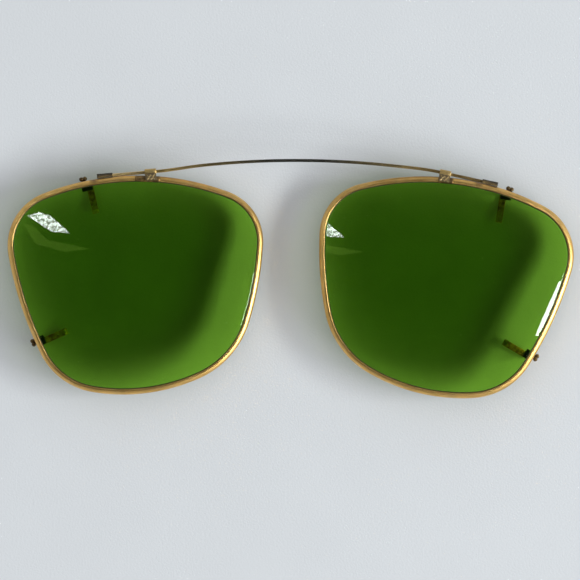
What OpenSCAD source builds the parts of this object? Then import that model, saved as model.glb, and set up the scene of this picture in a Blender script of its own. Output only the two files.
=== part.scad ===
// Clip on sunglasses, lying on their four hooks with the lens fronts up (+Z).
// +X is the right side seen from the front, +Y points from the lenses to the bridge spring.
// The origin is the middle of the footprint, on the plane that the hooks rest on.
// Each lens half is drawn round its own lens centre, as the right half, and seated by half().

/* [Lens outline] */
// Distance from the lens centre to the top edge
top_reach = 20.4; // [19.4:0.1:21.4]
// Radius of the top edge
top_radius = 50; // [44:1:60]
// How far the top edge slopes down to the temple, in degrees
top_tilt = 5; // [3:0.5:7]
// Distance from the lens centre to the nose edge
nose_reach = 22.65; // [21.65:0.05:23.65]
// Radius of the nose edge
nose_radius = 64; // [56:1:76]
// How far the nose edge runs towards the temple on its way down, in degrees
nose_tilt = 13.6; // [11:0.2:16]
// Distance from the lens centre to the bottom edge
bottom_reach = 20; // [19:0.1:21]
// Radius of the bottom edge
bottom_radius = 35.5; // [32:0.5:42]
// How far the bottom edge slopes up to the nose, in degrees
bottom_tilt = 10.4; // [8:0.2:13]
// Distance from the lens centre to the temple edge
temple_reach = 20.8; // [19.8:0.1:21.8]
// Radius of the temple edge
temple_radius = 71; // [60:1:84]
// How far the temple edge runs towards the nose on its way down, in degrees
temple_tilt = 25; // [22:0.5:28]
// Radius of the corner between top and nose
top_nose_corner = 9.2; // [7:0.1:11]
// Radius of the corner between nose and bottom
bottom_nose_corner = 16.5; // [13:0.5:18]
// Radius of the corner between bottom and temple
bottom_temple_corner = 12.6; // [10:0.1:14]
// Radius of the corner between temple and top
top_temple_corner = 9.7; // [7:0.1:12]

/* [Glass] */
// Radius of the lens front, a six base curve
glass_radius = 88; // [80:1:105]
// Thickness of the glass
glass_thickness = 1.9; // [1.6:0.1:2]
// Height of the lens front's crown over the rest plane
crown_height = 9.6; // [9.2:0.1:10.4]

/* [Rim] */
// Width of the rim seen from the front
rim_width = 1.2; // [1:0.05:1.3]
// Depth of the rim from front to back
rim_depth = 2.4; // [2.3:0.1:2.8]
// How far the rim stands in front of the glass
rim_lip = 0.3; // [0.2:0.05:0.4]
// Depth of the groove that holds the edge of the glass
groove_depth = 0.45; // [0.3:0.05:0.6]
// Width of the groove
groove_width = 0.9; // [0.7:0.05:1.1]

/* [Bridge spring] */
// Thickness of the spring strip, the way it bends
spring_thickness = 0.6; // [0.5:0.02:0.7]
// Width of the spring strip, front to back
spring_width = 1.3; // [1:0.05:1.4]
// Span of the bow between the guide loops
bow_chord = 55.4; // [52:0.2:62]
// Rise of the bow over its span
bow_rise = 2.2; // [1.9:0.1:2.5]
// Length of the straight tail from the bow to the end of the strip
tail_length = 11.35; // [10:0.05:11.8]
// How far the left tail falls outwards from the lens's own level, in degrees
tail_fall_left = 8; // [5:0.2:8]
// How far the right tail falls outwards from the lens's own level, in degrees
tail_fall_right = 9.2; // [5:0.2:9.2]
// Distance from the lens centre towards the nose, where the bow meets its tail
knee_inset = 2.8; // [2:0.1:3.6]
// Height over the lens centre, where the bow meets its tail
knee_height = 22.66; // [22.66:0.02:23]
// How far the whole spring has slid to the right
spring_slid = 0.57; // [-0.6:0.03:0.6]
// Height of the strip's middle over the rest plane
spring_height = 6; // [5.8:0.1:6.2]
// How far the spring has let both lenses turn clockwise, in degrees, 0 when square
lens_set = 3; // [-3:0.5:3]

/* [Guide loops] */
// Length of the guide loop along the strip
loop_length = 2.25; // [1.8:0.05:2.6]
// Wall of the guide loop
loop_wall = 0.27; // [0.2:0.01:0.3]
// Length of the saddle under the left guide loop
saddle_length_left = 5; // [2.8:0.1:6]
// Length of the saddle under the right guide loop
saddle_length_right = 3; // [2.8:0.1:6]
// How far the left saddle's middle sits towards the temple from its loop
saddle_offset_left = 0.5; // [0:0.1:0.8]
// How far the right saddle's middle sits towards the temple from its loop
saddle_offset_right = 0.2; // [0:0.1:0.8]
// Thickness of the saddle
saddle_thickness = 0.3; // [0.2:0.05:0.4]

/* [End blocks] */
// Length of the end block along the strip
block_length = 3.1; // [2.6:0.1:3.4]
// Height of the end block seen from the front
block_height = 0.94; // [0.9:0.02:1.1]
// Depth of the end block, front to back
block_depth = 1.9; // [1.8:0.1:2.2]

/* [Hooks] */
// Direction, round the lens, in which the left upper hook sits
upper_at_left = 75.9; // [72:0.1:79]
// Direction, round the lens, in which the right upper hook sits
upper_at_right = 74.9; // [72:0.1:79]
// How far the left upper hook leans off the rim's own direction, in degrees
upper_lean_left = -2; // [-10:0.5:10]
// How far the right upper hook leans off the rim's own direction, in degrees
upper_lean_right = 9; // [-10:0.5:10]
// Direction, round the lens, in which the left lower hook sits
lower_at_left = -27.8; // [-32:0.2:-20]
// Direction, round the lens, in which the right lower hook sits
lower_at_right = -28.2; // [-32:0.2:-20]
// How far both lower hooks lean off the rim's own direction, in degrees
lower_lean = 1; // [-6:0.5:6]
// Width of the hook strip
hook_width = 1.3; // [0.9:0.05:1.5]
// Thickness of the hook strip
hook_thickness = 0.45; // [0.35:0.05:0.5]
// Inner radius of the hook's two bends
hook_bend = 0.45; // [0.35:0.05:0.5]
// How far the hook's leg reaches in from the middle of the rim
leg_reach = 4.3; // [3.4:0.1:4.6]
// Length of the hook's turned down lip
lip_length = 0.75; // [0.5:0.05:1]
// Angle of the lip, in degrees
lip_angle = 32; // [20:1:40]
// Width of the upper hook's foot plate
upper_foot_width = 2.2; // [1.8:0.1:2.6]
// Width of the lower hook's foot plate
lower_foot_width = 1.8; // [1.6:0.1:2.2]
// Thickness of the foot plate
foot_thickness = 0.4; // [0.3:0.05:0.5]
// How far the foot plate reaches in from the middle of the rim
foot_reach = 1.5; // [1.2:0.05:1.6]
// Radius of the two ears that stand beside the rim
ear_radius = 0.42; // [0.36:0.02:0.46]
// How far the ears stand up from the back of the rim
ear_height = 1.2; // [0.8:0.1:1.6]
// Distance between the middles of the two ears
ear_spacing = 0.7; // [0.5:0.02:0.9]
// How far the ears of an upper hook sit towards the temple from the hook's middle
upper_ear_offset = 1; // [0:0.1:1.1]
// How far the ears of a lower hook sit towards the top from the hook's middle
lower_ear_offset = 0.5; // [0:0.1:0.8]

/* [Hidden] */

$fn = 180;
right = 1;
left = -1;
play = 0.05;          // round the strip in its guide loop
seat_gap = 0.03;      // between two pieces that are soldered or sprung together
tall = 20;            // taller than the whole object
overrun = 1;          // of a slot past the face that it opens
loop_start = 0.1;     // from the knee to the guide loop
end_wall = 0.4;       // of the end block, past the end of the strip
ear_drop = 0.6;       // of the ears below the back of the rim

// Outline: four long sides and four corners, all tangent arcs, anticlockwise from the top.
side_at = [90 - top_tilt, 180 + nose_tilt, 270 - bottom_tilt, 360 - temple_tilt];
side_reach = [top_reach, nose_reach, bottom_reach, temple_reach];
side_radius = [top_radius, nose_radius, bottom_radius, temple_radius];
corner_radius = [top_nose_corner, bottom_nose_corner, bottom_temple_corner, top_temple_corner];

// Spheres that every curved face follows, all round one centre under the lens.
sphere_z = crown_height - glass_radius;
rim_front = glass_radius + rim_lip;
rim_back = rim_front - rim_depth;
glass_back = glass_radius - glass_thickness;
groove_middle = glass_radius - glass_thickness / 2;

// Bow of the spring.
bow_radius = (pow(bow_chord / 2, 2) + pow(bow_rise, 2)) / (2 * bow_rise);
bow_slope = asin(bow_chord / 2 / bow_radius);

// Hook profile, in the plane of the hook: first value inwards, second value up from the rim's back.
bend_outside = hook_bend + hook_thickness;
post_outside = -rim_width / 2;
bend_in = post_outside + bend_outside;

function along(angle) = [cos(angle), sin(angle)];
function heading(v) = atan2(v[1], v[0]);
function next(i) = (i + 1) % 4;
function before(i) = (i + 3) % 4;
// The angle a, raised by whole turns until it is at least as large as start.
function past(a, start) = a < start ? past(a + 360, start) : (a >= start + 360 ? past(a - 360, start) : a);

// Centres of the arcs, seen from the lens centre.
function side_centre(i) = (side_reach[i] - side_radius[i]) * along(side_at[i]);
function corner_centre(i) =
    let(a = side_centre(i),
        b = side_centre(next(i)),
        ra = side_radius[i] - corner_radius[i],
        rb = side_radius[next(i)] - corner_radius[i],
        apart = norm(b - a),
        far = (ra * ra - rb * rb + apart * apart) / (2 * apart),
        off = sqrt(ra * ra - far * far),
        u = (b - a) / apart,
        v = [-u[1], u[0]],
        out = along((side_at[i] + past(side_at[next(i)], side_at[i])) / 2),
        turn = v * out > 0 ? 1 : -1)
    a + far * u + turn * off * v;

// Direction in which corner i begins, after side i, and in which it ends.
function corner_start(i) = heading(corner_centre(i) - side_centre(i));
function corner_end(i) = heading(corner_centre(i) - side_centre(next(i)));
function within(a, start, end) = past(a, start) <= past(end, start);

// Point where the outline, grown by that much, faces direction a.
function facing_point(a, grow) = [
    for (i = [0:3])
        if (within(a, corner_end(before(i)), corner_start(i)))
            side_centre(i) + (side_radius[i] + grow) * along(a),
    for (i = [0:3])
        if (within(a, corner_start(i), corner_end(i)))
            corner_centre(i) + (corner_radius[i] + grow) * along(a)
][0];
// How far the rim reaches in direction a from the lens centre.
function rim_reach(a) = facing_point(a, rim_width) * along(a);

// Knee: where the bow ends and the straight tail begins, seen from the lens centre.
function knee(side) = [side * spring_slid - knee_inset, knee_height];
function tail_fall(side) = side == left ? tail_fall_left : tail_fall_right;

// Footprint of the object, seen from the middle of the bow's chord.
function turned(v, a) = [v[0] * cos(a) - v[1] * sin(a), v[0] * sin(a) + v[1] * cos(a)];
function lens_centre(side) =
    [side * bow_chord / 2, 0] + turned([-side * knee(side)[0], -knee(side)[1]], -lens_set);
most_right = lens_centre(right)[0] + rim_reach(lens_set);
most_left = lens_centre(left)[0] - rim_reach(-lens_set);
highest = bow_rise + spring_thickness / 2;
lowest = min(
    lens_centre(right)[1] - rim_reach(lens_set - 90),
    lens_centre(left)[1] - rim_reach(-lens_set - 90));
middle = [(most_left + most_right) / 2, (lowest + highest) / 2];

// Places a half that is drawn as the right half, round its lens centre.
module half(side) {
    translate([side * bow_chord / 2 - middle[0], -middle[1], 0])
        rotate(-lens_set)
            mirror([1 - side, 0, 0])
                translate([-knee(side)[0], -knee(side)[1], 0])
                    children();
}

// Along the tail of the spring: +X runs outwards from the knee.
module at_tail(side) {
    translate(knee(side)) rotate(-tail_fall(side)) children();
}

// A box from corner a to corner b.
module block(a, b) {
    translate(a) cube(b - a);
}

// Outline of the lens opening, grown by that much.
module outline(grow) {
    far = 3 * corner_radius[1];
    difference() {
        intersection_for(i = [0:3])
            translate(side_centre(i)) circle(side_radius[i] + grow);
        for (i = [0:3])
            translate(corner_centre(i)) {
                start = corner_start(i);
                end = past(corner_end(i), start);
                halfway = (start + end) / 2;
                difference() {
                    polygon([[0, 0], far * along(start), 2 * far * along(halfway), far * along(end)]);
                    circle(corner_radius[i] + grow);
                }
            }
    }
}

// A flat shape raised to the layer between two spheres round the curve centre.
module layer(inner, outer) {
    difference() {
        intersection() {
            linear_extrude(tall) children();
            translate([0, 0, sphere_z]) sphere(outer);
        }
        translate([0, 0, sphere_z]) sphere(inner);
    }
}

// Grooved wire loop round the glass.
module rim() {
    difference() {
        layer(rim_back, rim_front) difference() {
            outline(rim_width);
            outline(0);
        }
        layer(groove_middle - groove_width / 2, groove_middle + groove_width / 2) outline(groove_depth);
    }
}

// Curved glass, with a narrower edge that sits in the groove.
module lens() {
    tongue = groove_width / 2 - seat_gap;
    layer(glass_back, glass_radius) outline(-seat_gap);
    layer(groove_middle - tongue, groove_middle + tongue) outline(groove_depth - seat_gap);
}

// Bowed strip with two straight tails, which start inside the bow.
module bridge() {
    wedge = 2 * bow_radius;
    overlap = 0.3;
    linear_extrude(spring_width) {
        translate([0, bow_rise - bow_radius])
            intersection() {
                difference() {
                    circle(bow_radius + spring_thickness / 2, $fn = 720);
                    circle(bow_radius - spring_thickness / 2, $fn = 720);
                }
                polygon([[0, 0], wedge * along(90 - bow_slope), wedge * along(90 + bow_slope)]);
            }
        for (side = [left, right])
            translate([side * bow_chord / 2, 0])
                rotate(-lens_set - side * tail_fall(side))
                    translate([side == right ? -overlap : -tail_length, -spring_thickness / 2])
                        square([tail_length + overlap, spring_thickness]);
    }
}

// Folded sleeve round the strip, with a tab that comes forward and down over the saddle.
module guide_loop(side) {
    start = loop_start;
    end = start + loop_length;
    slot_y = spring_thickness / 2 + play;
    slot_z = spring_width / 2 + play;
    out_y = slot_y + loop_wall;
    out_z = slot_z + loop_wall;
    tab_back = rim_front + saddle_thickness + seat_gap;
    tab_down = out_y + rim_width;
    difference() {
        at_tail(side) block([start, -out_y, spring_height - out_z], [end, out_y, spring_height + out_z]);
        at_tail(side)
            block([start - overrun, -slot_y, spring_height - slot_z],
                [end + overrun, slot_y, spring_height + slot_z]);
    }
    intersection() {
        at_tail(side) block([start, -out_y, spring_height + slot_z], [end, loop_wall - out_y, tall]);
        translate([0, 0, sphere_z]) sphere(tab_back + loop_wall);
    }
    layer(tab_back, tab_back + loop_wall)
        at_tail(side)
            translate([start, -tab_down]) square([loop_length, tab_down - out_y + loop_wall]);
}

// Curved plate on the front of the rim, under the guide loop's tab.
module loop_saddle(side) {
    length = side == left ? saddle_length_left : saddle_length_right;
    saddle_middle = loop_start + loop_length / 2 + (side == left ? saddle_offset_left : saddle_offset_right);
    deep = 2 * rim_width;
    layer(rim_front + seat_gap / 2, rim_front + saddle_thickness)
        intersection() {
            difference() {
                outline(rim_width - seat_gap);
                outline(seat_gap);
            }
            at_tail(side)
                translate([saddle_middle - length / 2, -deep]) square([length, deep]);
        }
}

// Block on the outside of the rim that closes over the end of the strip, open towards the rim.
module end_block(side) {
    end = tail_length + end_wall;
    slot_y = spring_thickness / 2 + seat_gap;
    slot_z = spring_width / 2 + seat_gap;
    difference() {
        at_tail(side) block([end - block_length, -block_height / 2, spring_height - block_depth / 2],
            [end, block_height / 2, spring_height + block_depth / 2]);
        at_tail(side) block([0, -block_height, spring_height - slot_z],
            [tail_length + seat_gap, slot_y, spring_height + slot_z]);
        linear_extrude(tall) outline(rim_width + seat_gap);
    }
}

// Back of the rim where a hook sits: the middle of the rim's width, in direction a.
function hook_spot(a) = facing_point(a, rim_width / 2);
function back_height(a) = sphere_z + sqrt(pow(rim_back, 2) - pow(norm(hook_spot(a)), 2));
// How much the curve tilts there, in the plane of the hook.
function hook_tilt(a, lean) = asin(-(hook_spot(a) * along(a + 180 + lean)) / rim_back);

// Stands a hook on its spot: +X runs inwards along the rim's back and +Z forwards.
module at_hook(a, lean) {
    translate([hook_spot(a)[0], hook_spot(a)[1], back_height(a)])
        rotate(a + 180 + lean)
            rotate([0, -hook_tilt(a, lean), 0])
                children();
}

// Quarter bend of the strip round the origin, from direction a to a + 90.
module quarter_bend(a) {
    intersection() {
        difference() {
            circle(bend_outside, $fn = 48);
            circle(hook_bend, $fn = 48);
        }
        rotate(a) square(2 * bend_outside);
    }
}

// Side view of a hook: flange, bend, post, bend, leg and turned down lip.
module hook_profile(bend_z) {
    flange_z = -foot_thickness - seat_gap;
    top_bend_z = flange_z - bend_outside;
    leg_z = bend_z - bend_outside;
    translate([bend_in, flange_z - hook_thickness])
        square([foot_reach - bend_in, hook_thickness]);
    translate([bend_in, top_bend_z]) quarter_bend(90);
    translate([post_outside, bend_z]) square([hook_thickness, top_bend_z - bend_z]);
    translate([bend_in, bend_z]) quarter_bend(180);
    translate([bend_in, leg_z]) square([leg_reach - bend_in, hook_thickness]);
    translate([leg_reach, leg_z + hook_thickness])
        rotate(-lip_angle)
            translate([-hook_thickness / 4, -hook_thickness])
                square([lip_length + hook_thickness / 4, hook_thickness]);
}

// Bent strip behind the rim. Its lower bend touches the rest plane.
module hook(a, lean) {
    tilt = hook_tilt(a, lean);
    bend_z = (bend_outside - back_height(a) - bend_in * sin(tilt)) / cos(tilt);
    at_hook(a, lean)
        rotate([90, 0, 0])
            translate([0, 0, -hook_width / 2])
                linear_extrude(hook_width) hook_profile(bend_z);
}

// Plate across the back of the rim, with two ears on a short bar that stand beside the rim.
// The ears sit that offset anticlockwise round the rim from the hook, and the plate half of it.
module hook_foot(a, lean, width, offset) {
    ear_middle = rim_width + seat_gap + ear_radius;
    intersection() {
        at_hook(a, lean) {
            translate([0, -offset / 2, 0])
                block([post_outside, -width / 2, -foot_thickness], [foot_reach, width / 2, foot_thickness]);
            translate([0, -offset, 0])
                block([rim_width / 2 - ear_middle, -ear_spacing / 2, -foot_thickness],
                    [0, ear_spacing / 2, foot_thickness]);
        }
        translate([0, 0, sphere_z]) sphere(rim_back - seat_gap, $fn = 2 * $fn);
    }
    for (step = [-1, 1])
        translate(concat(facing_point(a, ear_middle), back_height(a) - ear_drop))
            rotate(a)
                translate([0, offset + step * ear_spacing / 2, 0])
                    cylinder(h = ear_drop + ear_height, r = ear_radius, $fn = 40);
}

module rim_left() { color("#b8883c") half(left) rim(); }
module rim_right() { color("#b8883c") half(right) rim(); }
module lens_left() { color([0.13, 0.36, 0.03, 0.85]) half(left) lens(); }
module lens_right() { color([0.13, 0.36, 0.03, 0.85]) half(right) lens(); }
module bridge_spring() {
    color("#5a5140")
        translate([-middle[0], -middle[1], spring_height - spring_width / 2])
            bridge();
}
module guide_loop_left() { color("#a07a3c") half(left) guide_loop(left); }
module guide_loop_right() { color("#a07a3c") half(right) guide_loop(right); }
module loop_saddle_left() { color("#6b4a22") half(left) loop_saddle(left); }
module loop_saddle_right() { color("#6b4a22") half(right) loop_saddle(right); }
module end_block_left() { color("#4a4030") half(left) end_block(left); }
module end_block_right() { color("#4a4030") half(right) end_block(right); }
module upper_hook_left() { color("#8a6a30") half(left) hook(upper_at_left, upper_lean_left); }
module upper_hook_right() { color("#8a6a30") half(right) hook(upper_at_right, upper_lean_right); }
module lower_hook_left() { color("#8a6a30") half(left) hook(lower_at_left, lower_lean); }
module lower_hook_right() { color("#8a6a30") half(right) hook(lower_at_right, lower_lean); }
module upper_hook_foot_left() {
    color("#3a2a18")
        half(left)
            hook_foot(upper_at_left, upper_lean_left, upper_foot_width, -upper_ear_offset);
}
module upper_hook_foot_right() {
    color("#3a2a18")
        half(right)
            hook_foot(upper_at_right, upper_lean_right, upper_foot_width, -upper_ear_offset);
}
module lower_hook_foot_left() {
    color("#3a2a18")
        half(left)
            hook_foot(lower_at_left, lower_lean, lower_foot_width, lower_ear_offset);
}
module lower_hook_foot_right() {
    color("#3a2a18")
        half(right)
            hook_foot(lower_at_right, lower_lean, lower_foot_width, lower_ear_offset);
}

rim_left();
rim_right();
lens_left();
lens_right();
bridge_spring();
guide_loop_left();
guide_loop_right();
loop_saddle_left();
loop_saddle_right();
end_block_left();
end_block_right();
upper_hook_left();
upper_hook_right();
lower_hook_left();
lower_hook_right();
upper_hook_foot_left();
upper_hook_foot_right();
lower_hook_foot_left();
lower_hook_foot_right();
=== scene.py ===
import math

import bmesh
import bpy
from mathutils import Matrix, Vector, noise


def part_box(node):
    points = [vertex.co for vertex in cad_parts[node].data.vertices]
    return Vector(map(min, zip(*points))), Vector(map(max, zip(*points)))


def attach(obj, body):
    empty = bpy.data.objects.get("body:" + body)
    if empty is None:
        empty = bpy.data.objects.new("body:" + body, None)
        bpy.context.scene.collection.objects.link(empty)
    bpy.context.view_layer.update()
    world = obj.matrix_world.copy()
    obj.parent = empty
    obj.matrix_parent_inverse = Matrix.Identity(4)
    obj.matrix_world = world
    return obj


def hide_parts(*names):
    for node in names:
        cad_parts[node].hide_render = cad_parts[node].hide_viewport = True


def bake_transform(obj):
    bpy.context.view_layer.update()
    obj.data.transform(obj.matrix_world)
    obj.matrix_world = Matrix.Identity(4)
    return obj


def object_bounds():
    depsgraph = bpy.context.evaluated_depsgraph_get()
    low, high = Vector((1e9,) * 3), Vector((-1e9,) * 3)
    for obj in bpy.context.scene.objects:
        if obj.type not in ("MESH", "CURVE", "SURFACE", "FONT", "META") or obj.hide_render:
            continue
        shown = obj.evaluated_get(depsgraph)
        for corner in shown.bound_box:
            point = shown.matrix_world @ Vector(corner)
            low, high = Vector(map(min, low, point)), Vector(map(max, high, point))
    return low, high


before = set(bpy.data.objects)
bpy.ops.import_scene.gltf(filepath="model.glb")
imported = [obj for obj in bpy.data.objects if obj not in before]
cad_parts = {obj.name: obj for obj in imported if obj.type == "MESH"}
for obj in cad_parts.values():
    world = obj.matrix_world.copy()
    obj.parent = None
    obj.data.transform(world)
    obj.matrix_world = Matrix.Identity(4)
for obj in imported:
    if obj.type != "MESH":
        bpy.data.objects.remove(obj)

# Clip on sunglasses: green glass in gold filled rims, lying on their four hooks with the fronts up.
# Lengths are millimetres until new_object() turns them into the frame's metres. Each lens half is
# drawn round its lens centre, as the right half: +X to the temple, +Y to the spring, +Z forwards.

MM = 0.001
CAD_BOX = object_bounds()
RIGHT, LEFT = 1, -1
NAME = {RIGHT: "right", LEFT: "left"}
BODY = {RIGHT: "right_lens", LEFT: "left_lens"}

# Lens outline: four long sides and four corners, anticlockwise from the top, as in the CAD part.
SIDE_AT = (85.0, 193.6, 259.6, 335.0)
SIDE_REACH = (20.4, 22.65, 20.0, 20.8)
SIDE_RADIUS = (50.0, 64.0, 35.5, 71.0)
CORNER_RADIUS = (9.2, 16.5, 12.6, 9.7)
LENS_TURN = -3.0

# Glass and rim. The bevel is given from the face to the wall: inwards, then down.
OUTLINE_STEP = 0.35
GLASS_RADIUS = 88.0
GLASS_THICKNESS = 1.9
GLASS_RINGS = 44
GLASS_BEVEL = ((0.16, 0.0), (0.07, 0.0), (0.03, 0.012), (0.0, 0.06))
RIM_WIDTH = 1.2
RIM_DEPTH = 2.4
RIM_LIP = 0.3
GROOVE_DEPTH = 0.45
GROOVE_WIDTH = 0.9
GROOVE_ROUND = 0.06
RIM_FRONT = GLASS_RADIUS + RIM_LIP
RIM_BACK = RIM_FRONT - RIM_DEPTH
RIM_ROUNDS = {"inner back": 0.20, "outer back": 0.40, "outer front": 0.64, "inner front": 0.50}
SEAT_GAP = 0.03

# Bridge spring, guide loops and end blocks.
KNEE = {LEFT: Vector((-3.37, 22.66)), RIGHT: Vector((-2.23, 22.66))}
TAIL_FALL = {LEFT: 8.0, RIGHT: 9.2}
SPRING_THICKNESS = 0.6
SPRING_WIDTH = 1.3
SPRING_ROUND = 0.14
SPRING_STEP = 0.4
BOW_RISE = 2.2
BOW_RUN_OUT = 9.0
TAIL_LENGTH = 11.35
PLAY = 0.05
LOOP_START = 0.1
LOOP_LENGTH = 2.25
LOOP_WALL = 0.27
LOOP_CORNER = 0.26
LOOP_ROUND = 0.11
TAB_WIDTH = LOOP_LENGTH - 0.1
TAB_ROUND = 0.1
TAB_ROOT = 0.2
TAB_BEND = 0.28
TAB_INSET = 0.1
TAB_STAIN = 0.80
RIB_INSET = 0.06
RIB_STARTS = (-0.80, -0.05)
RIB_SLOPE = 0.75
RIB_STAIN = 0.45
SADDLE_LENGTH = {LEFT: 5.0, RIGHT: 3.0}
SADDLE_OFFSET = {LEFT: 0.5, RIGHT: 0.2}
SADDLE_THICKNESS = 0.3
SADDLE_DROP = 0.42
SADDLE_DROP_POWER = 2.6
BLOCK_LENGTH = 3.1
BLOCK_HEIGHT = 0.94
BLOCK_LEAST_HEIGHT = 0.4
BLOCK_DEPTH = 1.9
BLOCK_WALL = 0.4
BLOCK_END = TAIL_LENGTH + BLOCK_WALL
BLOCK_STAIN_FROM = {LEFT: -0.6, RIGHT: 0.3}

# Brown run of solder on each rim, beside the end block, by its distance along the tail.
SOLDER_AT = {LEFT: BLOCK_END + 0.8, RIGHT: BLOCK_END - BLOCK_LENGTH - 0.5}
SOLDER_REACH = 1.0
SOLDER_RISE = 0.12

# Saddle from its foot to its top: share of its plan, height over the front of the rim.
SADDLE_EDGE = ((1.0, -0.12), (1.0, 0.10), (0.985, 0.20), (0.955, 0.265))
SADDLE_TOP = (0.90, 0.75, 0.5, 0.25, 0.05)
SADDLE_PROFILE = SADDLE_EDGE + tuple((share, SADDLE_THICKNESS) for share in SADDLE_TOP)

# Hooks: name, direction round the lens, lean, width of the foot, how far anticlockwise the ears sit.
HOOKS = {
    LEFT: (("upper_hook", 75.9, -2.0, 2.2, -1.0), ("lower_hook", -27.8, 1.0, 1.8, 0.5)),
    RIGHT: (("upper_hook", 74.9, 9.0, 2.2, -1.0), ("lower_hook", -28.2, 1.0, 1.8, 0.5)),
}
HOOK_WIDTH = 1.3
HOOK_THICKNESS = 0.45
HOOK_BEND = 0.45
HOOK_ROUND = 0.13
LEG_REACH = 4.3
LIP_LENGTH = 0.75
LIP_ANGLE = 32.0
LIP_BEND = 0.25
FOOT_THICKNESS = 0.4
FOOT_REACH = 1.5
EAR_RADIUS = 0.42
EAR_HEIGHT = 1.2
EAR_DROP = 0.6
EAR_SPACING = 0.7
POST_OUTSIDE = -RIM_WIDTH / 2


# ---------------------------------------------------------------- plane geometry

def along(angle):
    a = math.radians(angle)
    return Vector((math.cos(a), math.sin(a)))


def heading(v):
    return math.degrees(math.atan2(v.y, v.x))


def past(angle, start):
    """The same direction as angle, by whole turns, from start up to one turn on."""
    return start + (angle - start) % 360


def clamped(value):
    return max(0.0, min(1.0, value))


def side_centre(i):
    return (SIDE_REACH[i] - SIDE_RADIUS[i]) * along(SIDE_AT[i])


def corner_centre(i):
    """Where circles drawn inside the two neighbouring sides cross, on the outward side."""
    j = (i + 1) % 4
    a, b = side_centre(i), side_centre(j)
    ra, rb = SIDE_RADIUS[i] - CORNER_RADIUS[i], SIDE_RADIUS[j] - CORNER_RADIUS[i]
    apart = (b - a).length
    far = (ra * ra - rb * rb + apart * apart) / (2 * apart)
    off = math.sqrt(ra * ra - far * far)
    u = (b - a) / apart
    v = Vector((-u.y, u.x))
    out = along((SIDE_AT[i] + past(SIDE_AT[j], SIDE_AT[i])) / 2)
    return a + far * u + (off if v.dot(out) > 0 else -off) * v


def arcs():
    """The outline's eight arcs in turn: centre, radius, first and last direction."""
    made = []
    for i in range(4):
        here, before, after = corner_centre(i), corner_centre(i - 1), side_centre((i + 1) % 4)
        first = heading(before - side_centre(i))
        last = past(heading(here - side_centre(i)), first)
        made.append((side_centre(i), SIDE_RADIUS[i], first, last))
        made.append((here, CORNER_RADIUS[i], last, past(heading(here - after), last)))
    return made


ARCS = arcs()


def facing_point(angle, grow):
    """The point where the outline, grown by that much, faces that direction."""
    for centre, radius, first, last in ARCS:
        if past(angle, first) <= last:
            return centre + (radius + grow) * along(angle)
    raise ValueError("the outline has a gap")


def outline(step):
    """Points of the lens opening, with the direction each one faces and how far round it is."""
    points, run = [], 0.0
    for centre, radius, first, last in ARCS:
        length = math.radians(last - first) * radius
        count = max(2, round(length / step))
        for k in range(count):
            a = first + (last - first) * k / count
            points.append((centre + radius * along(a), along(a), run + length * k / count))
        run += length
    return points


def rounded(corners, turn=12.0):
    """A closed outline through corners (x, y, radius), each rounded by an arc."""
    made = []
    for i, (x, y, radius) in enumerate(corners):
        here = Vector((x, y))
        back = (Vector(corners[i - 1][:2]) - here).normalized()
        on = (Vector(corners[(i + 1) % len(corners)][:2]) - here).normalized()
        half = math.acos(max(-1.0, min(1.0, back.dot(on)))) / 2
        centre = here + (back + on).normalized() * radius / math.sin(half)
        start = here + back * radius / math.tan(half) - centre
        sweep = math.pi - 2 * half
        sign = 1 if back.cross(on) < 0 else -1
        steps = max(1, round(math.degrees(sweep) / turn))
        for k in range(steps + 1):
            a = sign * sweep * k / steps
            c, s = math.cos(a), math.sin(a)
            made.append(centre + Vector((start.x * c - start.y * s, start.x * s + start.y * c)))
    return made


def rounded_box(width, height, radius, turn=15.0):
    w, h = width / 2, height / 2
    return rounded([(-w, -h, radius), (w, -h, radius), (w, h, radius), (-w, h, radius)], turn)


# ---------------------------------------------------------------- places

def seat(side):
    """Matrix from a lens half's own frame to the object's, found from its packed rim."""
    turn = Matrix.Rotation(math.radians(LENS_TURN), 4, "Z") @ Matrix.Diagonal((side, 1, 1, 1))
    edge = [turn @ (p + n * RIM_WIDTH).to_3d() for p, n, _ in outline(step=0.1)]
    low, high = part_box("rim_" + NAME[side])
    middle = (low + high) / 2 / MM
    x = (min(p.x for p in edge) + max(p.x for p in edge)) / 2
    y = (min(p.y for p in edge) + max(p.y for p in edge)) / 2
    return Matrix.Translation((middle.x - x, middle.y - y, 0)) @ turn


SEAT = {side: seat(side) for side in (LEFT, RIGHT)}
SPHERE_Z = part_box("lens_right")[1].z / MM - GLASS_RADIUS
SPRING_Z = (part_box("bridge_spring")[0].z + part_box("bridge_spring")[1].z) / 2 / MM


def on_sphere(xy, radius):
    """The point of that sphere above xy, all spheres being round one centre under the lens."""
    return Vector((xy.x, xy.y, SPHERE_Z + math.sqrt(radius ** 2 - xy.length_squared)))


def tail(side, x, y, z):
    """A point from the knee's own frame: +X outwards along the tail, height from the strip's middle."""
    c, s = along(-TAIL_FALL[side])
    knee = KNEE[side]
    return Vector((knee.x + x * c - y * s, knee.y + x * s + y * c, SPRING_Z + z))


def hook_seat(angle, lean):
    """Matrix of a hook's own frame: +X runs inwards along the rim's back and +Z forwards."""
    spot = facing_point(angle, RIM_WIDTH / 2)
    back = on_sphere(spot, RIM_BACK)
    tilt = math.asin(-spot.dot(along(angle + 180 + lean)) / RIM_BACK)
    turn = Matrix.Rotation(math.radians(angle + 180 + lean), 4, "Z")
    return Matrix.Translation(back) @ turn @ Matrix.Rotation(-tilt, 4, "Y"), tilt


# ---------------------------------------------------------------- mesh building

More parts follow.
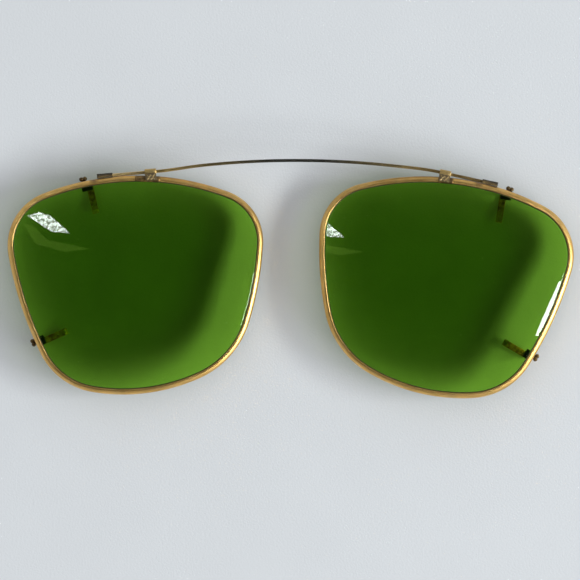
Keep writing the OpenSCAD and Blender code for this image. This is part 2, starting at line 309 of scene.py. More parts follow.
def new_object(name, bm, side=None):
    """A mesh object in metres from a bmesh in millimetres, seated on its side if it has one."""
    if side is not None:
        bmesh.ops.transform(bm, matrix=SEAT[side], verts=bm.verts)
    bmesh.ops.scale(bm, vec=(MM, MM, MM), verts=bm.verts)
    bmesh.ops.recalc_face_normals(bm, faces=bm.faces)
    mesh = bpy.data.meshes.new(name)
    bm.to_mesh(mesh)
    bm.free()
    obj = bpy.data.objects.new(name, mesh)
    bpy.context.scene.collection.objects.link(obj)
    return obj


def smooth(obj, sharp):
    """Smooth shading that keeps edges sharper than that many degrees."""
    obj.data.shade_smooth()
    obj.data.set_sharp_from_angle(angle=math.radians(sharp))
    return obj


def skin(bm, rings, closed=True, caps=True):
    """Joins rings of points, each a closed loop, into a tube that closes on itself or has caps."""
    made = [[bm.verts.new(p) for p in ring] for ring in rings]
    pairs = list(zip(made, made[1:]))
    if closed:
        pairs.append((made[-1], made[0]))
    for a, b in pairs:
        for i in range(len(a)):
            j = (i + 1) % len(a)
            bm.faces.new((a[i], a[j], b[j], b[i]))
    if caps and not closed:
        bm.faces.new(list(reversed(made[0])))
        bm.faces.new(made[-1])
    return made


def swept(path, section, place, closed=False):
    """Rings of a section carried along a line in a plane; place(a, b, w) gives a ring's points."""
    rings = []
    for k, p in enumerate(path):
        if closed:
            before, after = path[k - 1], path[(k + 1) % len(path)]
        else:
            before, after = path[max(k - 1, 0)], path[min(k + 1, len(path) - 1)]
        ahead = after - before
        n = Vector((-ahead.y, ahead.x)).normalized()
        rings.append([place(p.x + n.x * s.x, p.y + n.y * s.x, s.y) for s in section])
    return rings


def end_ring(last, before, inset, shrink):
    """One smaller ring past the last one, which rounds the end over."""
    middle = sum(last, Vector()) / len(last)
    ahead = (middle - sum(before, Vector()) / len(before)).normalized() * inset
    return [middle + (p - middle) * shrink + ahead for p in last]


def soft_ends(rings, inset=0.05, shrink=0.86):
    """Rings with one smaller ring added past each end."""
    first = end_ring(rings[0], rings[1], inset, shrink)
    last = end_ring(rings[-1], rings[-2], inset, shrink)
    return [first, *rings, last]


def bent(corners, turn=12.0):
    """An open line through corners (x, y, radius), rounded where it bends."""
    first, last = Vector(corners[0][:2]), Vector(corners[-1][:2])
    near = 1e-6
    inner = [p for p in rounded(corners, turn) if (p - first).length > near and (p - last).length > near]
    return [first] + inner + [last]


def strip(path, width, thickness, radius, place):
    """Rings of a flat strip bent along a line in a plane, with its ends rounded over."""
    return soft_ends(swept(path, rounded_box(thickness, width, radius), place))


def ripple(obj, depth, size, seed):
    """Faint uneven relief, at most depth millimetres, in lumps of about that size."""
    shift = Vector((seed * 3.7, seed * 1.3, seed * 2.1))
    for v in obj.data.vertices:
        v.co += v.normal * noise.noise(v.co / (MM * size) + shift) * depth * MM


def mark(obj, name, values):
    """A named value per vertex that materials read."""
    attribute = obj.data.attributes.new(name, "FLOAT", "POINT")
    attribute.data.foreach_set("value", values)


def fused(obj, voxel, passes):
    """Melts overlapping shells into one skin and relaxes it."""
    remesh = obj.modifiers.new("remesh", "REMESH")
    remesh.mode = "VOXEL"
    remesh.voxel_size = voxel * MM
    relax = obj.modifiers.new("relax", "SMOOTH")
    relax.factor = 0.5
    relax.iterations = passes
    bpy.context.view_layer.update()
    seen = obj.evaluated_get(bpy.context.evaluated_depsgraph_get())
    mesh = bpy.data.meshes.new_from_object(seen)
    obj.modifiers.clear()
    obj.data = mesh
    mesh.shade_smooth()


# ---------------------------------------------------------------- materials

def add(tree, kind, sockets=(), **settings):
    """One shader node. Its inputs are given by name, as values or as sockets to link."""
    node = tree.nodes.new("ShaderNode" + kind)
    for key, value in settings.items():
        setattr(node, key, value)
    for key, value in dict(sockets).items():
        if isinstance(value, bpy.types.NodeSocket):
            tree.links.new(value, node.inputs[key])
        else:
            node.inputs[key].default_value = value
    return node


def new_material(name):
    material = bpy.data.materials.new(name)
    material.use_nodes = True
    tree = material.node_tree
    tree.nodes.clear()
    return material, tree


def output(tree, shader):
    add(tree, "OutputMaterial", {"Surface": shader})


def position(tree):
    """Object coordinates in millimetres."""
    place = add(tree, "TexCoord").outputs["Object"]
    return add(tree, "VectorMath", {0: place, "Scale": 1 / MM}, operation="SCALE").outputs[0]


def attribute(tree, name):
    return add(tree, "Attribute", attribute_name=name).outputs["Fac"]


def grain(tree, where, scale, detail=3.0, roughness=0.55):
    sockets = {"Vector": where, "Scale": scale, "Detail": detail, "Roughness": roughness}
    return add(tree, "TexNoise", sockets).outputs[0]


def streaks(tree, scale_along, scale_across):
    """Fine lines that run along a swept piece."""
    a = add(tree, "Math", {0: attribute(tree, "along"), 1: scale_along}, operation="MULTIPLY")
    b = add(tree, "Math", {0: attribute(tree, "across"), 1: scale_across}, operation="MULTIPLY")
    where = add(tree, "CombineXYZ", {"X": a.outputs[0], "Y": b.outputs[0]}).outputs[0]
    return grain(tree, where, 1.0, 4.0)


def spread(tree, value, low, high, first=0.0, last=1.0):
    """value from low to high, as first to last, smoothly and clamped."""
    sockets = {"Value": value, 1: low, 2: high, 3: first, 4: last}
    return add(tree, "MapRange", sockets, interpolation_type="SMOOTHSTEP").outputs[0]


def mixed(tree, share, a, b, kind="MIX"):
    """Colour a turned into colour b by share."""
    node = add(tree, "Mix", data_type="RGBA", blend_type=kind)
    for index, value in ((0, share), (6, a), (7, b)):
        if isinstance(value, bpy.types.NodeSocket):
            tree.links.new(value, node.inputs[index])
        else:
            node.inputs[index].default_value = value if index == 0 else (*value, 1.0)
    return node.outputs[2]


def combined(tree, a, b, operation="MULTIPLY"):
    return add(tree, "Math", {0: a, 1: b}, operation=operation, use_clamp=True).outputs[0]


def bumped(tree, height, depth):
    """A normal from a height pattern that is depth millimetres deep."""
    return add(tree, "Bump", {"Height": height, "Distance": depth * MM}).outputs[0]


def metal(name, build):
    """A metal whose colour, roughness, metal share and relief come from build(tree)."""
    material, tree = new_material(name)
    colour, roughness, share, normal = build(tree)
    sockets = {"Base Color": colour, "Roughness": roughness, "Metallic": share, "Normal": normal}
    output(tree, add(tree, "BsdfPrincipled", sockets).outputs[0])
    return material


GOLD = (0.82, 0.50, 0.15)
PALE_GOLD = (0.95, 0.71, 0.34)
ANTIQUE = (0.42, 0.26, 0.075)
# Dark colour for the painted shade along the glass and for dark specks.
SHADE_AND_SPECK = (0.030, 0.020, 0.009)
BRASS = (0.62, 0.43, 0.16)
TAN = (0.50, 0.37, 0.17)
OLIVE = (0.30, 0.23, 0.11)
STEEL = (0.085, 0.082, 0.070)
# Dark colour for soot marks and spots, and for painted shade in hollows.
SOOT_AND_SHADE = (0.026, 0.020, 0.014)
RED_BRASS = (0.76, 0.43, 0.14)
BROWN = (0.20, 0.085, 0.030)
RUST = (0.16, 0.080, 0.032)
UMBER = (0.11, 0.070, 0.032)
GILT = (0.52, 0.37, 0.13)
DULL_GILT = (0.22, 0.15, 0.06)
BROWN_GILT = (0.52, 0.32, 0.11)


def gold_nodes(tree):
    """Gold filled wire: drawn lines along it, dull patches, dark specks, and painted shade next to the
    glass.
    """
    where = position(tree)
    patch = grain(tree, where, 0.30, 5.0)
    line = streaks(tree, 0.25, 15.0)
    fine = streaks(tree, 0.6, 40.0)
    colour = mixed(tree, spread(tree, patch, 0.34, 0.60, 0.45, 0.0), GOLD, ANTIQUE)
    colour = mixed(tree, spread(tree, line, 0.50, 0.68, 0.0, 0.7), colour, PALE_GOLD)
    colour = mixed(tree, spread(tree, line, 0.34, 0.48, 0.75, 0.0), colour, ANTIQUE)
    colour = mixed(tree, spread(tree, fine, 0.50, 0.75, 0.0, 0.35), colour, ANTIQUE)
    # Painted shade: the rim is darkened unevenly towards its inner edge, where it meets the glass. Dark
    # specks are added on top.
    inner = spread(tree, attribute(tree, "across"), 0.07, 0.26, 1.0, 0.0)
    glass_shade_and_specks = combined(tree, inner, spread(tree, grain(tree, where, 2.4), 0.25, 0.6, 0.8, 1.0))
    specks = spread(tree, grain(tree, where, 5.5, 2.0), 0.68, 0.74)
    glass_shade_and_specks = combined(tree, glass_shade_and_specks, combined(tree, specks, 0.5), "MAXIMUM")
    colour = mixed(tree, glass_shade_and_specks, colour, SHADE_AND_SPECK)
    uneven = spread(tree, grain(tree, where, 3.0), 0.2, 0.6, 0.6, 1.0)
    stain = combined(tree, attribute(tree, "stain"), uneven)
    colour = mixed(tree, stain, colour, RUST)
    roughness = spread(tree, combined(tree, patch, fine, "ADD"), 0.6, 1.3, 0.44, 0.28)
    share = spread(tree, combined(tree, glass_shade_and_specks, stain, "MAXIMUM"), 0.2, 1.0, 1.0, 0.35)
    return colour, roughness, share, bumped(tree, fine, 0.012)


def spring_nodes(tree):
    """Spring strip: dark steel in the middle of the bow, the left tail pale gold, the right one brown."""
    where = position(tree)
    line = streaks(tree, 0.35, 22.0)
    patch = grain(tree, where, 0.45, 4.0)
    signed = attribute(tree, "along")
    reach = add(tree, "Math", {0: signed}, operation="ABSOLUTE").outputs[0]
    uneven = add(tree, "Math", {0: patch, 1: 6.0, 2: reach}, operation="MULTIPLY_ADD").outputs[0]
    colour = mixed(tree, spread(tree, uneven, 7.0, 21.0), STEEL, OLIVE)
    colour = mixed(tree, spread(tree, uneven, 18.0, 32.0), colour, BRASS)
    colour = mixed(tree, spread(tree, signed, -33.0, -29.0, 0.8, 0.0), colour, PALE_GOLD)
    colour = mixed(tree, spread(tree, signed, 20.0, 28.0, 0.0, 0.6), colour, UMBER)
    colour = mixed(tree, spread(tree, line, 0.5, 0.8, 0.0, 0.5), colour, SOOT_AND_SHADE)
    spots = spread(tree, grain(tree, where, 3.2, 2.0), 0.66, 0.74, 0.0, 0.8)
    colour = mixed(tree, spots, colour, SOOT_AND_SHADE)
    roughness = spread(tree, line, 0.3, 0.8, 0.32, 0.52)
    return colour, roughness, spread(tree, spots, 0.0, 1.0, 1.0, 0.5), bumped(tree, line, 0.01)


def worn_nodes(light, dark, rust, wear, reach):
    """Worn metal: light on its edges, painted shade in its hollows, dark where it is marked, rusty in
    patches.
    """
    def build(tree):
        where = position(tree)
        patch = grain(tree, where, 1.1, 4.0)
        fine = grain(tree, where, 7.0, 3.0)
        edge = add(tree, "NewGeometry").outputs["Pointiness"]
        bright = combined(tree, spread(tree, edge, 0.5, 0.58), spread(tree, fine, 0.3, 0.6))
        # Painted shade: ambient occlusion darkens hollows and joints beside other parts. It is mixed with
        # the marked stain below.
        hollow = add(tree, "AmbientOcclusion", {"Distance": reach * MM}, samples=8).outputs["AO"]
        colour = mixed(tree, spread(tree, patch, 0.5 - wear, 0.95 - wear), dark, light)
        colour = mixed(tree, spread(tree, fine, 0.58, 0.72, 0.0, 0.7), colour, rust)
        colour = mixed(tree, combined(tree, bright, 0.6), colour, light)
        painted_hollow_shade = spread(tree, hollow, 0.25, 0.75, 0.85, 0.0)
        shade_and_stain = combined(tree, painted_hollow_shade, attribute(tree, "stain"), "MAXIMUM")
        colour = mixed(tree, shade_and_stain, colour, SOOT_AND_SHADE)
        roughness = spread(tree, fine, 0.3, 0.7, 0.34, 0.60)
        return colour, roughness, spread(tree, shade_and_stain, 0.0, 0.9, 1.0, 0.4), bumped(tree, fine, 0.02)
    return build


SEEN_TINT = (0.275, 0.615, 0.050)
SHADE_TINT = (0.070, 0.125, 0.008)


def green_glass():
    """Green mineral glass. Light on its way to or from the table is tinted and isn't bent."""
    material, tree = new_material("green_glass")
    where = position(tree)
    haze = spread(tree, grain(tree, where, 0.09, 3.0), 0.3, 0.7, 0.93, 1.04)
    dust = spread(tree, grain(tree, where, 3.6, 1.0), 0.74, 0.80)
    sockets = {
        "Base Color": mixed(tree, 1.0, SEEN_TINT, haze, "MULTIPLY"),
        "Roughness": spread(tree, dust, 0.0, 1.0, 0.012, 0.30),
        "IOR": 1.52,
        "Specular IOR Level": 0.22,
        "Transmission Weight": 1.0,
        "Normal": bumped(tree, grain(tree, where, 0.05, 1.0), 0.002),
    }
    glass = add(tree, "BsdfPrincipled", sockets)
    one_face = tuple(math.sqrt(c) for c in SHADE_TINT)
    clear = add(tree, "BsdfTransparent", {"Color": (*one_face, 1.0)})
    path = add(tree, "LightPath").outputs
    lit = combined(tree, path["Is Shadow Ray"], path["Is Diffuse Ray"], "MAXIMUM")
    both = add(tree, "MixShader", {0: lit, 1: glass.outputs[0], 2: clear.outputs[0]})
    output(tree, both.outputs[0])
    return material


MATERIALS = {
    "gold_filled_rim": metal("gold_filled_rim", gold_nodes),
    "green_glass": green_glass(),
    "spring_strip": metal("spring_strip", spring_nodes),
    "tarnished_brass": metal("tarnished_brass", worn_nodes(TAN, BRASS, OLIVE, wear=0.18, reach=0.5)),
    "hook_strip": metal("hook_strip", worn_nodes(RED_BRASS, BROWN, RUST, wear=0.20, reach=0.5)),
    "dark_solder": metal("dark_solder", worn_nodes(OLIVE, UMBER, SOOT_AND_SHADE, wear=0.05, reach=0.6)),
}
GILT_SOLDER = metal("gilt_solder", worn_nodes(GILT, DULL_GILT, SOOT_AND_SHADE, wear=0.12, reach=0.4))
BROWN_SOLDER = metal("brown_solder", worn_nodes(BROWN_GILT, UMBER, RUST, wear=0.08, reach=0.4))


def dress(obj, side, slot, node, finish=None):
    """Gives a piece its finish and its body if it has just one, and hides the CAD node that it stands
    for.
    """
    obj.data.materials.clear()
    obj.data.materials.append(finish or MATERIALS[slot])
    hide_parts(node)
    if side is not None:
        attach(obj, BODY[side])


# ---------------------------------------------------------------- rims and glass

def rim_section():
    """The rim seen in section: half round in front, with a groove that holds the glass."""
    middle = (RIM_DEPTH - RIM_LIP) - GLASS_THICKNESS / 2
    top, bottom = middle + GROOVE_WIDTH / 2, middle - GROOVE_WIDTH / 2
    return rounded([
        (0, 0, RIM_ROUNDS["inner back"]),
        (RIM_WIDTH, 0, RIM_ROUNDS["outer back"]),
        (RIM_WIDTH, RIM_DEPTH, RIM_ROUNDS["outer front"]),
        (0, RIM_DEPTH, RIM_ROUNDS["inner front"]),
        (0, top, GROOVE_ROUND),
        (GROOVE_DEPTH, top, GROOVE_ROUND),
        (GROOVE_DEPTH, bottom, GROOVE_ROUND),
        (0, bottom, GROOVE_ROUND),
    ])


def solder_spot(side):
    """The middle of the brown run of solder on the rim, in the plane."""
    at = tail(side, SOLDER_AT[side], 0, 0).to_2d()
    return facing_point(heading(at - side_centre(0)), RIM_WIDTH)


def rim(side):
    section = rim_section()
    points = outline(OUTLINE_STEP)
    spot = solder_spot(side)
    rings, stains = [], []
    for p, n, _ in points:
        ring = []
        for s in section:
            at = p + n * s.x
            near = clamped(1 - ((at - spot).length / SOLDER_REACH) ** 2)
            front = clamped(s.y / RIM_DEPTH * 2 - 0.8)
            stains.append(near * front)
            ring.append(on_sphere(at, RIM_BACK + s.y + SOLDER_RISE * near * near * front))
        rings.append(ring)
    bm = bmesh.new()
    skin(bm, rings)
    obj = smooth(new_object("rim_shell_" + NAME[side], bm, side), sharp=50)
    mark(obj, "along", [run for _, _, run in points for _ in section])
    mark(obj, "across", [s.x / RIM_WIDTH for _ in points for s in section])
    mark(obj, "stain", stains)
    dress(obj, side, "gold_filled_rim", "rim_" + NAME[side])


def glass_edge():
    """Ground edge of the glass from front to back: growth of the outline, sphere radius."""
    middle = GLASS_RADIUS - GLASS_THICKNESS / 2
    tongue = GROOVE_WIDTH / 2 - SEAT_GAP
    tip = GROOVE_DEPTH - SEAT_GAP
    soft = GROOVE_ROUND
    made = []
    for end, turn in ((GLASS_RADIUS, 1), (GLASS_RADIUS - GLASS_THICKNESS, -1)):
        wall = middle + turn * tongue
        part = [(-SEAT_GAP - inwards, end - turn * down) for inwards, down in GLASS_BEVEL]
        part += [
            (-SEAT_GAP, wall + turn * soft),
            (soft, wall),
            (tip - soft, wall),
            (tip, wall - turn * soft),
        ]
        made += part if turn == 1 else part[::-1]
    return made


def lens(side):
    points = outline(OUTLINE_STEP)
    edge = glass_edge()
    edge_rings = [[on_sphere(p + n * grow, radius) for p, n, _ in points] for grow, radius in edge]
    front, back = [], []
    for k in range(1, GLASS_RINGS):
        share = k / GLASS_RINGS
        front.append([on_sphere((p + n * edge[0][0]) * share, edge[0][1]) for p, n, _ in points])
        back.append([on_sphere((p + n * edge[-1][0]) * share, edge[-1][1]) for p, n, _ in points])
    bm = bmesh.new()
    made = skin(bm, front + edge_rings + back[::-1], closed=False, caps=False)
    for ring, radius in ((made[0], edge[0][1]), (made[-1], edge[-1][1])):
        pole = bm.verts.new(on_sphere(Vector((0, 0)), radius))
        for i in range(len(ring)):
            bm.faces.new((ring[i], ring[i - 1], pole))
    obj = smooth(new_object("glass_" + NAME[side], bm, side), sharp=50)
    dress(obj, side, "green_glass", "lens_" + NAME[side])


# ---------------------------------------------------------------- bridge spring

def knee_at(side):
    return (SEAT[side] @ tail(side, 0, 0, 0)).to_2d()


def bow():
    """Middle of the bow's circle, its radius, and the direction of the bow's middle from there."""
    left, right = knee_at(LEFT), knee_at(RIGHT)
    chord = right - left
    radius = ((chord.length / 2) ** 2 + BOW_RISE ** 2) / (2 * BOW_RISE)
    up = Vector((-chord.y, chord.x)).normalized()
    return (left + right) / 2 + up * (BOW_RISE - radius), radius, heading(up)


def spring_path(side):
    """Middle line of half the strip, from the middle of the bow to the end of the tail."""
    centre, radius, top = bow()
    knee = knee_at(side)
    ahead = ((SEAT[side] @ tail(side, 1, 0, 0)).to_2d() - knee).normalized()
    end = heading(knee - centre) + side * math.degrees(BOW_RUN_OUT / radius)
    length = radius * math.radians(abs(end - top))
    count = round(length / SPRING_STEP)
    path = [(centre + radius * along(top + (end - top) * k / count), length * k / count)
            for k in range(count + 1)]
    last = path[-1][0]
    turn = along(end - side * 90)
    count = round(BOW_RUN_OUT / SPRING_STEP)
    for k in range(1, count + 1):
        t = k / count
        hold = 2 * t ** 3 - 3 * t ** 2 + 1
        pull_in = (t ** 3 - 2 * t ** 2 + t) * BOW_RUN_OUT
        pull_out = (t ** 3 - t ** 2) * BOW_RUN_OUT
        p = last * hold + knee * (1 - hold) + turn * pull_in + ahead * pull_out
        path.append((p, length + BOW_RUN_OUT * t))
    length += BOW_RUN_OUT
    count = round(TAIL_LENGTH / SPRING_STEP)
    for k in range(1, count + 1):
        x = TAIL_LENGTH * k / count
        path.append((knee + ahead * x, length + x))
    return path


def bridge_spring(side):
    section = rounded_box(SPRING_THICKNESS, SPRING_WIDTH, SPRING_ROUND)
    path = spring_path(side)
    rings = swept([p for p, _ in path], section, lambda a, b, w: Vector((a, b, SPRING_Z + w)))
    rings.append(end_ring(rings[-1], rings[-2], inset=0.06, shrink=0.82))
    bm = bmesh.new()
    skin(bm, rings, closed=False)
    obj = smooth(new_object("spring_half_" + NAME[side], bm), sharp=50)
    runs = [run for _, run in path] + [path[-1][1]]
    mark(obj, "along", [side * run for run in runs for _ in section])
    mark(obj, "across", [k / len(section) for _ in runs for k in range(len(section))])
    dress(obj, None, "spring_strip", "bridge_spring")
    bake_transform(obj)


# ---------------------------------------------------------------- guide loops, saddles, end blocks

def guide_loop(side):
    """Folded sleeve round the strip, with a cross hatched tab that comes over the saddle."""
    x = LOOP_START + LOOP_LENGTH / 2
    y = SPRING_THICKNESS / 2 + PLAY + LOOP_WALL / 2
    z = SPRING_WIDTH / 2 + PLAY + LOOP_WALL / 2

    def place(a, b, w):
        return tail(side, x + w, a, b)

    section = rounded_box(LOOP_WALL, LOOP_LENGTH, LOOP_ROUND)
    sleeve = rounded([(a * y, b * z, LOOP_CORNER) for a, b in ((-1, -1), (1, -1), (1, 1), (-1, 1))])
    bm = bmesh.new()
    skin(bm, swept(sleeve, section, place, closed=True))
    sleeve_points = len(bm.verts)
    top = RIM_FRONT + SADDLE_THICKNESS + SEAT_GAP + LOOP_WALL / 2
    reach = -y - RIM_WIDTH + TAB_INSET
    outer = on_sphere(tail(side, x, -y, 0).to_2d(), top).z - SPRING_Z
    inner = on_sphere(tail(side, x, reach, 0).to_2d(), top).z - SPRING_Z
    path = bent([(-y, TAB_ROOT, 0), (-y, outer, TAB_BEND), (reach, inner, 0)])
    skin(bm, strip(path, TAB_WIDTH, LOOP_WALL, TAB_ROUND, place), closed=False)
    tab_points = len(bm.verts) - sleeve_points
    proud = LOOP_WALL / 2 + 0.01
    hatch(bm, side, x, Vector((-y, outer + proud)), Vector((reach + RIB_INSET, inner + proud)))
    rib_points = len(bm.verts) - sleeve_points - tab_points
    obj = smooth(new_object("guide_sleeve_" + NAME[side], bm, side), sharp=40)
    mark(obj, "stain", [0.0] * sleeve_points + [TAB_STAIN] * tab_points + [RIB_STAIN] * rib_points)
    dress(obj, side, "tarnished_brass", "guide_loop_" + NAME[side])


def hatch(bm, side, x, outer, inner):
    """Raised ribs that cross on the tab, from its outer to its inner edge (y, z)."""
    rise = outer.x - inner.x
    wide, proud = 0.11, 0.05
    ring = [Vector((along(a).x * wide, along(a).y * proud)) for a in range(0, 360, 45)]
    for start in RIB_STARTS:
        for lean in (1, -1):
            first = Vector((x + lean * start, outer.x))
            ahead = Vector((lean * rise * RIB_SLOPE, -rise))
            n = Vector((-ahead.y, ahead.x)).normalized()
            rings = []
            for t in (0, 0.25, 0.5, 0.75, 1.0):
                height = outer.lerp(inner, t).y
                rings.append([tail(side, *(first + ahead * t + n * r.x), height + r.y) for r in ring])
            skin(bm, soft_ends(rings, inset=0.03, shrink=0.5), closed=False)


def loop_saddle(side):
    """Tarnished pad that is bent over the front of the rim, under the guide loop's tab."""
    centre, radius = side_centre(0), SIDE_RADIUS[0]
    at = tail(side, LOOP_START + LOOP_LENGTH / 2 + SADDLE_OFFSET[side], 0, 0).to_2d()
    middle = heading(at - centre)
    plan = rounded_box(SADDLE_LENGTH[side] - 0.1, RIM_WIDTH + 0.02, radius=0.30, turn=12)
    rings = []
    for scale, height in SADDLE_PROFILE:
        ring = []
        for p in plan:
            u = p.y * scale
            drop = SADDLE_DROP * (abs(u) / (RIM_WIDTH / 2)) ** SADDLE_DROP_POWER
            angle = middle - math.degrees(p.x * scale / radius)
            xy = centre + (radius + RIM_WIDTH / 2 + u) * along(angle)
            ring.append(on_sphere(xy, RIM_FRONT + height - drop))
        rings.append(ring)
    bm = bmesh.new()
    skin(bm, rings, closed=False)
    bmesh.ops.subdivide_edges(bm, edges=bm.edges, cuts=1, use_grid_fill=True)
    obj = smooth(new_object("saddle_pad_" + NAME[side], bm, side), sharp=60)
    ripple(obj, depth=0.04, size=0.7, seed=3 + side)
    dress(obj, side, "dark_solder", "loop_saddle_" + NAME[side], finish=BROWN_SOLDER)


def clearance(xy):
    """How far a point is outside the lens opening."""
    for centre, radius, first, last in ARCS:
        if past(heading(xy - centre), first) <= last:
            away = (xy - centre).length - radius
            if away > -radius / 2:
                return away
    return 0.0


def touches_rim(xy):
    return clearance(xy) < RIM_WIDTH + SEAT_GAP


def end_block(side):
    """Block on the outside of the rim that is closed over the end of the strip."""
    start = BLOCK_END - BLOCK_LENGTH
    z, high = BLOCK_DEPTH / 2, BLOCK_HEIGHT / 2
    inset, steps = 0.05, 12
    rings, stains = [], []
    for k in range(steps + 1):
        x = start + inset + (BLOCK_LENGTH - 2 * inset) * k / steps
        low = -high
        while touches_rim(tail(side, x, low, 0).to_2d()) and low < high - BLOCK_LEAST_HEIGHT:
            low += 0.02
        section = rounded([(low, -z, 0.1), (high, -z, 0.14), (high, z, 0.14), (low, z, 0.1)], 18)
        rings.append([tail(side, x, s.x, s.y) for s in section])
        tip = clamped(4 * k / steps - 3.2)
        top = [clamped((s.x / high - BLOCK_STAIN_FROM[side]) * 2.5) for s in section]
        stains.append([max(tip, share) for share in top])
    bm = bmesh.new()
    skin(bm, soft_ends(rings, inset, shrink=0.88), closed=False)
    obj = smooth(new_object("strip_block_" + NAME[side], bm, side), sharp=40)
    ripple(obj, depth=0.02, size=0.8, seed=7 + side)
    mark(obj, "stain", [share for row in (stains[0], *stains, stains[-1]) for share in row])
    dress(obj, side, "dark_solder", "end_block_" + NAME[side], finish=GILT_SOLDER)


# ---------------------------------------------------------------- hooks and their feet

def hook(side, name, angle, lean):
    """Bent strip behind the rim: flange under the foot, post outside, leg inwards, lip."""
    place, tilt = hook_seat(angle, lean)
    half = HOOK_THICKNESS / 2
    outside = HOOK_BEND + HOOK_THICKNESS
    bend_in = POST_OUTSIDE + outside
    bend = (outside - place.translation.z - bend_in * math.sin(tilt)) / math.cos(tilt)
    flange = -FOOT_THICKNESS - SEAT_GAP - half
    leg = bend - outside + half
    post = POST_OUTSIDE + half
    lip = along(-LIP_ANGLE) * LIP_LENGTH
    path = bent([
        (FOOT_REACH, flange, 0),
        (post, flange, HOOK_BEND + half),
        (post, leg, HOOK_BEND + half),
        (LEG_REACH, leg, LIP_BEND),
        (LEG_REACH + lip.x, leg + lip.y, 0),
    ], turn=9)
    rings = strip(path, HOOK_WIDTH, HOOK_THICKNESS, HOOK_ROUND, lambda a, b, w: place @ Vector((a, w, b)))
    bm = bmesh.new()
    skin(bm, rings, closed=False)
    obj = smooth(new_object(name + "_strip_" + NAME[side], bm, side), sharp=40)
    dress(obj, side, "hook_strip", f"{name}_{NAME[side]}")


def ear(bm, place, radius, low, high):
    """Round peg with a domed top, in the place's own XY plane."""
    rings = []
    for scale, height in ((0.6, low - 0.05), (1.0, low), (1.0, high - 0.3), (0.92, high - 0.14),
                          (0.7, high - 0.04), (0.35, high)):
        rings.append([place @ Vector((*(along(a) * radius * scale), height)) for a in range(0, 360, 20)])
    skin(bm, rings, closed=False)


def hook_foot(side, name, angle, lean, width, offset):
    """Brazed plate across the back of the rim, with two ears on a bar that stand beside the rim."""
    place, _ = hook_seat(angle, lean)
    bm = bmesh.new()
    height = FOOT_THICKNESS - SEAT_GAP
    lift = -(FOOT_THICKNESS + SEAT_GAP) / 2
    middle = RIM_WIDTH + SEAT_GAP + EAR_RADIUS
    inset = 0.05
    plate = (width, offset / 2, (POST_OUTSIDE + inset, 0.5, FOOT_REACH - inset))
    bar = (EAR_SPACING, offset, (RIM_WIDTH / 2 - middle, -0.4, 0))
    for wide, aside, reach in (plate, bar):
        section = rounded_box(wide, height, radius=0.14)
        rings = [[place @ Vector((x, s.x - aside, s.y + lift)) for s in section] for x in reach]
        skin(bm, soft_ends(rings, inset), closed=False)
    back = place.translation.z
    spot = facing_point(angle, middle)
    turn = Matrix.Rotation(math.radians(angle), 4, "Z")
    for step in (-1, 1):
        beside = Matrix.Translation((0, offset + step * EAR_SPACING / 2, 0))
        here = Matrix.Translation((*spot, 0)) @ turn @ beside
        ear(bm, here, EAR_RADIUS, back - EAR_DROP, back + EAR_HEIGHT)
    obj = new_object(name + "_braze_" + NAME[side], bm, side)
    fused(obj, voxel=0.05, passes=3)
    ripple(obj, depth=0.035, size=0.45, seed=11 + side + len(name))
    dress(obj, side, "dark_solder", f"{name}_foot_{NAME[side]}")


# ---------------------------------------------------------------- table, lights, camera

TABLE_HALF = 4000.0
PAPER = (0.730, 0.752, 0.778)
ROOM_LIGHT = (0.52, 0.53, 0.54)
MIRRORED_WALLS = (0.50, 0.51, 0.52)
MIRRORED_CEILING = (0.012, 0.012, 0.012)
LAMP_COLOUR = (0.97, 1.0, 1.0)
CARD_DISTANCE = 330.0
VIEW_WIDTH = 113.73
CAMERA_DISTANCE = 3000.0
CAMERA_SHIFT = Vector((-0.12, -2.265, 6.0))
CAMERA_ROLL = 0.128
SENSOR_WIDTH = 36.0

# Bright shapes that the glass mirrors: corners as directions (azimuth, elevation) from the lens.
LEAFY_WINDOW = ((147.1, 52.2), (142.6, 54.5), (140.5, 57.8), (141.1, 65.6), (147.3, 60.8))
FAINT_WINDOW = ((150.8, 52.4), (149.7, 55.3), (152.4, 61.1), (140.5, 73.0), (154.3, 67.1), (157.4, 58.2))
BRIGHT_SILL = ((3.5, 45.0), (-27.0, 45.0), (-26.8, 59.4), (-15.5, 59.2), (-8.7, 58.4), (3.3, 55.8))


def paper():
    material, tree = new_material("table_paper")
    where = position(tree)
    mottle = spread(tree, grain(tree, where, 0.05, 5.0), 0.3, 0.7)
    fibre = grain(tree, where, 2.4, 4.0)
    sockets = {
        "Base Color": mixed(tree, mottle, PAPER, tuple(c * 1.02 for c in PAPER)),
        "Roughness": 0.85,
        "Specular IOR Level": 0.25,
        "Normal": bumped(tree, fibre, 0.05),
    }
    output(tree, add(tree, "BsdfPrincipled", sockets).outputs[0])
    return material


def table_top():
    """Pale table under the object, large enough for low views."""
    bm = bmesh.new()
    low = CAD_BOX[0].z / MM
    corners = ((-1, -1), (1, -1), (1, 1), (-1, 1))
    bm.faces.new([bm.verts.new((x * TABLE_HALF, y * TABLE_HALF, low)) for x, y in corners])
    obj = new_object("table_top", bm)
    obj.data.materials.append(paper())


def window_card(name, about, corners, brightness, mottle, colour):
    """A bright shape that only reflections show. Its corners lie in those directions from about."""
    bm = bmesh.new()
    points = []
    for azimuth, elevation in corners:
        flat = along(azimuth) * math.cos(math.radians(elevation))
        points.append(about + Vector((flat.x, flat.y, math.sin(math.radians(elevation)))) * CARD_DISTANCE)
    bm.faces.new([bm.verts.new(p) for p in points])
    obj = new_object(name, bm)
    material, tree = new_material(name)
    leaves = grain(tree, position(tree), 0.19, 3.0, 0.75)
    glow = spread(tree, leaves, 0.42, 0.58, brightness * (1 - mottle), brightness)
    output(tree, add(tree, "Emission", {"Color": (*colour, 1.0), "Strength": glow}).outputs[0])
    obj.data.materials.append(material)
    obj.visible_camera = obj.visible_diffuse = obj.visible_shadow = False
    obj.visible_transmission = False


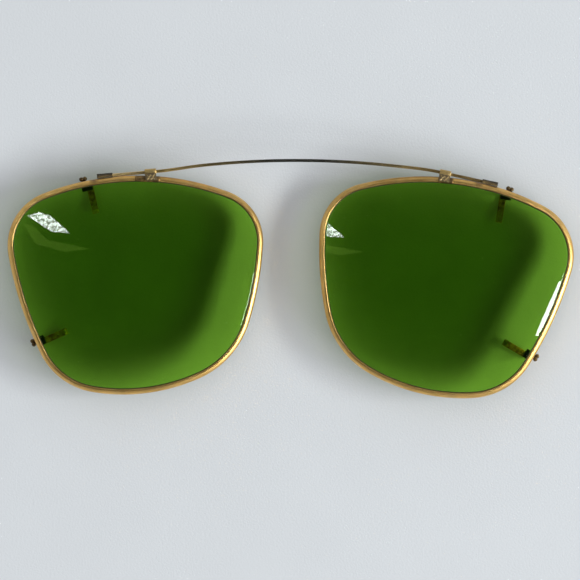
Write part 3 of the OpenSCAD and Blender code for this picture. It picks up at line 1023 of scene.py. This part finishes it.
def soft_lamp(name, azimuth, elevation, distance, wide, high, power):
    """A square soft light that faces the object."""
    data = bpy.data.lights.new(name, "AREA")
    data.shape = "RECTANGLE"
    data.size, data.size_y = wide, high
    data.energy = power
    data.color = LAMP_COLOUR
    obj = bpy.data.objects.new(name, data)
    flat = along(azimuth) * math.cos(math.radians(elevation))
    back = Vector((flat.x, flat.y, math.sin(math.radians(elevation))))
    obj.location = back * distance
    obj.rotation_mode = "QUATERNION"
    obj.rotation_quaternion = back.to_track_quat("Z", "Y")
    obj.visible_camera = False
    bpy.context.scene.collection.objects.link(obj)


def room():
    """Even pale room. Glass and metal also mirror a dim ceiling straight above."""
    world = bpy.data.worlds.new("room")
    world.use_nodes = True
    tree = world.node_tree
    tree.nodes.clear()
    up = add(tree, "SeparateXYZ", {0: add(tree, "TexCoord").outputs["Generated"]}).outputs["Z"]
    mirrored = mixed(tree, spread(tree, up, 0.68, 0.84), MIRRORED_WALLS, MIRRORED_CEILING)
    glossy = add(tree, "LightPath").outputs["Is Glossy Ray"]
    colour = mixed(tree, glossy, ROOM_LIGHT, mirrored)
    add(tree, "OutputWorld", {"Surface": add(tree, "Background", {"Color": colour}).outputs[0]})
    bpy.context.scene.world = world


def lighting():
    room()
    lamp = {"elevation": 28, "distance": 2.0, "high": 0.36}
    soft_lamp("window_light", azimuth=-7, wide=0.80, power=22.3, **lamp)
    soft_lamp("second_window_light", azimuth=-32, wide=0.90, power=11.6, **lamp)
    crown = Vector((0, 0, SPHERE_Z + GLASS_RADIUS))
    about = {side: SEAT[side].translation + crown for side in (LEFT, RIGHT)}
    leafy = {"brightness": 24.0, "mottle": 0.80, "colour": (0.92, 1.0, 0.95)}
    faint = {"brightness": 0.9, "mottle": 0.3, "colour": (0.6, 1.0, 0.15)}
    plain = {"brightness": 26.0, "mottle": 0.0, "colour": (0.97, 1.0, 0.98)}
    window_card("leafy_window", about[LEFT], LEAFY_WINDOW, **leafy)
    window_card("leafy_window_again", about[LEFT], FAINT_WINDOW, **faint)
    window_card("bright_sill", about[RIGHT], BRIGHT_SILL, **plain)


def camera():
    """Straight above the object, from so far away that it is hardly foreshortened."""
    low, high = CAD_BOX
    data = bpy.data.cameras.new("camera")
    data.sensor_width = SENSOR_WIDTH
    data.lens = SENSOR_WIDTH * CAMERA_DISTANCE / VIEW_WIDTH
    data.clip_start, data.clip_end = 0.1, 10.0
    obj = bpy.data.objects.new("camera", data)
    aim = Vector(((low.x + high.x) / 2, (low.y + high.y) / 2, low.z)) + CAMERA_SHIFT * MM
    obj.location = aim + Vector((0, 0, CAMERA_DISTANCE * MM))
    obj.rotation_euler = (0, 0, math.radians(CAMERA_ROLL))
    bpy.context.scene.collection.objects.link(obj)
    bpy.context.scene.camera = obj
    bpy.context.scene.view_settings.view_transform = "Standard"


for half in (LEFT, RIGHT):
    rim(half)
    lens(half)
    bridge_spring(half)
    guide_loop(half)
    loop_saddle(half)
    end_block(half)
    for name, angle, lean, width, offset in HOOKS[half]:
        hook(half, name, angle, lean)
        hook_foot(half, name, angle, lean, width, offset)

table_top()
lighting()
camera()
